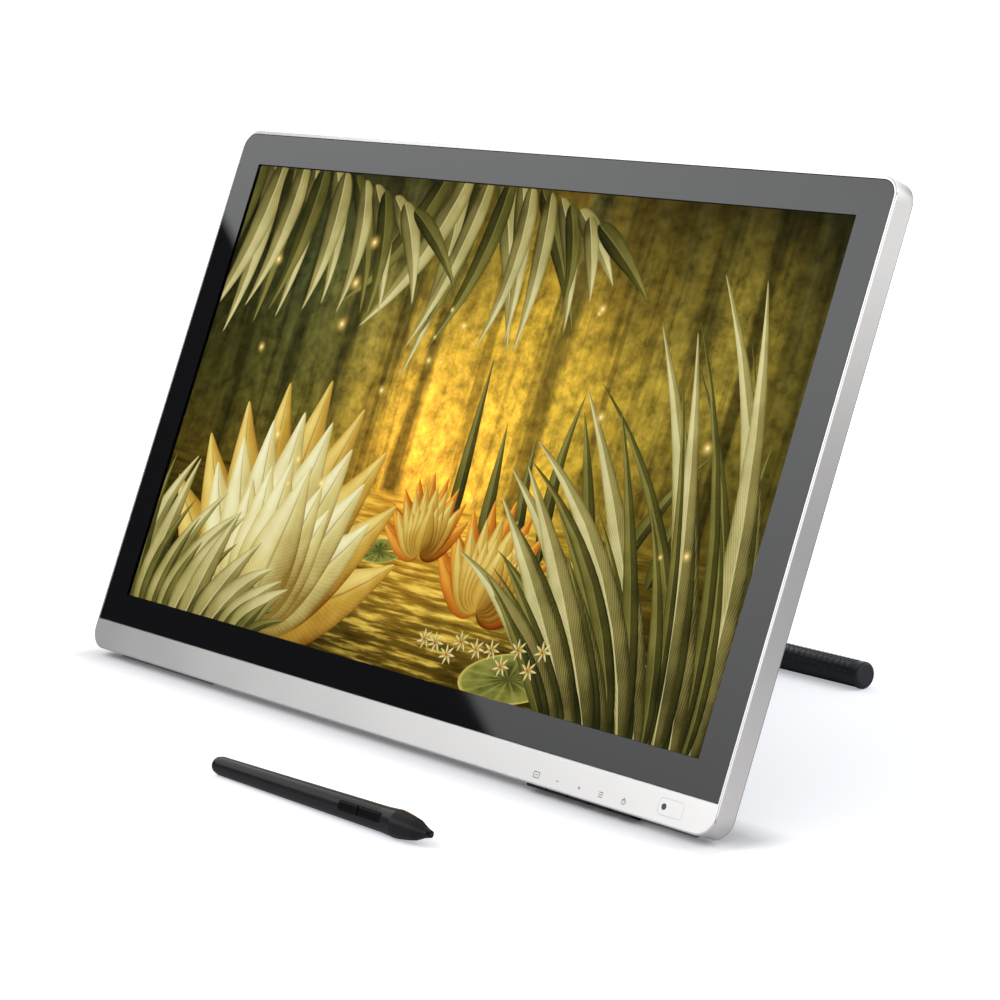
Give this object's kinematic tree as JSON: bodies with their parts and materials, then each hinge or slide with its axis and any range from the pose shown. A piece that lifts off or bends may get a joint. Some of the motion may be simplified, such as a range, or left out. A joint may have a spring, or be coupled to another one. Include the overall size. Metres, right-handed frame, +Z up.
{
  "type": "graphics tablet with screen",
  "caption": "Screen tablet that leans back on a hinged stand with a bar foot, with press keys under its chin and a pen lying in front.",
  "frame": {"origin": "on the desk, midway between the pen in front and the foot bar behind, in line with the middle of the screen", "axes": "+X to the user's right along the tablet, +Y away from the user, +Z up"},
  "size_m": [0.519, 0.392, 0.3049],
  "materials": {
    "silver_paint": "satin",
    "clear_glass": "polished",
    "black_print": "flat",
    "foam_tape": "matte",
    "panel_steel": "brushed",
    "screen_glass": "lit picture",
    "white_sheet": "matte",
    "acrylic": "polished",
    "circuit_board": "solder mask",
    "plated_steel": "zinc plated",
    "flat_cable": "matte",
    "dark_plastic": "fine texture",
    "socket_black": "moulded",
    "foot_rubber": "matte",
    "key_black": "moulded",
    "window_silver": "satin",
    "lamp_dark": "clear",
    "black_steel": "powder coat",
    "bare_steel": "turned",
    "brake_lining": "ground",
    "washer_plastic": "matte",
    "sleeve_rubber": "ribbed",
    "pen_matte": "soft touch",
    "pen_gloss": "polished",
    "nib_pale": "matte",
    "coil_copper": "wound",
    "cell_metal": "plain"
  },
  "bodies": {
    "display": {"front_frame": "silver_paint", "cover_glass": "clear_glass", "printed_border": "black_print", "bond_tape": "foam_tape", "panel_bezel": "panel_steel", "crystal_cell": "screen_glass", "optical_sheets": "white_sheet", "light_guide": "acrylic", "reflector_sheet": "white_sheet", "led_strip": "circuit_board", "panel_tray": "panel_steel", "sensor_board": "circuit_board", "sensor_shield": "panel_steel", "chassis_plate": "plated_steel", "clinch_nuts": "plated_steel", "mounting_posts": "plated_steel", "main_board": "circuit_board", "shield_can": "panel_steel", "flat_cables": "flat_cable", "port_bay": "dark_plastic", "power_socket": "socket_black", "video_socket": "socket_black", "data_socket": "socket_black", "rear_cover": "dark_plastic", "cover_screws": "plated_steel", "foot_pads": "foot_rubber", "key_board": "circuit_board", "tact_switches": "socket_black", "indicator_window": "window_silver", "indicator_lamp": "lamp_dark", "stand_plate": "black_steel", "plate_screws": "plated_steel", "hinge_cheeks": "black_steel", "hinge_pin": "bare_steel", "hinge_nut": "bare_steel", "friction_washers": "washer_plastic", "lever_pin": "bare_steel", "lever_spring": "plated_steel"},
    "stand_leg": {"leg": "black_steel", "brake_drum": "brake_lining", "foot_tube": "bare_steel", "foot_sleeves": "sleeve_rubber", "foot_caps": "sleeve_rubber"},
    "release_lever": {"release_lever": "black_steel"},
    "key_input": {"key_input": "key_black"},
    "key_minus": {"key_minus": "key_black"},
    "key_plus": {"key_plus": "key_black"},
    "key_menu": {"key_menu": "key_black"},
    "key_power": {"key_power": "key_black"},
    "pen": {"pen_tail_cap": "pen_gloss", "pen_barrel": "pen_matte", "pen_grip": "pen_matte", "pen_nose": "pen_matte", "pen_coil": "coil_copper", "pen_board": "circuit_board", "pen_cell": "cell_metal"},
    "pen_nib": {"pen_nib": "nib_pale"},
    "pen_switch_rear": {"pen_switch_rear": "pen_gloss"},
    "pen_switch_front": {"pen_switch_front": "pen_gloss"}
  },
  "joints": [
    {"name": "leg_hinge", "type": "hinge", "parent": "display", "child": "stand_leg", "pos_m": [0, 0.05817, 0.23122], "axis": [1, 0, 0], "range_deg": [-52, 60]},
    {"name": "lever_pivot", "type": "hinge", "parent": "display", "child": "release_lever", "pos_m": [0, 0.06037, 0.25516], "axis": [1, 0, 0], "range_deg": [0, 10], "stiffness_Nm_per_rad": 0.5, "springref_deg": -11.46},
    {"name": "key_input_press", "type": "slide", "parent": "display", "child": "key_input", "axis": [0, 0.3774, 0.9261], "range_m": [0, 0.0008], "stiffness_N_per_m": 600, "springref_m": -0.001},
    {"name": "key_minus_press", "type": "slide", "parent": "display", "child": "key_minus", "axis": [0, 0.3774, 0.9261], "range_m": [0, 0.0008], "stiffness_N_per_m": 600, "springref_m": -0.001},
    {"name": "key_plus_press", "type": "slide", "parent": "display", "child": "key_plus", "axis": [0, 0.3774, 0.9261], "range_m": [0, 0.0008], "stiffness_N_per_m": 600, "springref_m": -0.001},
    {"name": "key_menu_press", "type": "slide", "parent": "display", "child": "key_menu", "axis": [0, 0.3774, 0.9261], "range_m": [0, 0.0008], "stiffness_N_per_m": 600, "springref_m": -0.001},
    {"name": "key_power_press", "type": "slide", "parent": "display", "child": "key_power", "axis": [0, 0.3774, 0.9261], "range_m": [0, 0.0008], "stiffness_N_per_m": 600, "springref_m": -0.001},
    {"name": "pen_lift", "type": "slide", "parent": "display", "child": "pen", "axis": [0, 0, 1], "range_m": [0, 0.12]},
    {"name": "nib_press", "type": "slide", "parent": "pen", "child": "pen_nib", "axis": [-0.9999, 0, -0.0146], "range_m": [0, 0.0008], "stiffness_N_per_m": 2000, "springref_m": -0.0002},
    {"name": "pen_switch_rear_press", "type": "slide", "parent": "pen", "child": "pen_switch_rear", "axis": [0.006, 0.9135, -0.4067], "range_m": [0, 0.0004], "stiffness_N_per_m": 800, "springref_m": -0.0005},
    {"name": "pen_switch_front_press", "type": "slide", "parent": "pen", "child": "pen_switch_front", "axis": [0.006, 0.9135, -0.4067], "range_m": [0, 0.0004], "stiffness_N_per_m": 800, "springref_m": -0.0005}
  ]
}
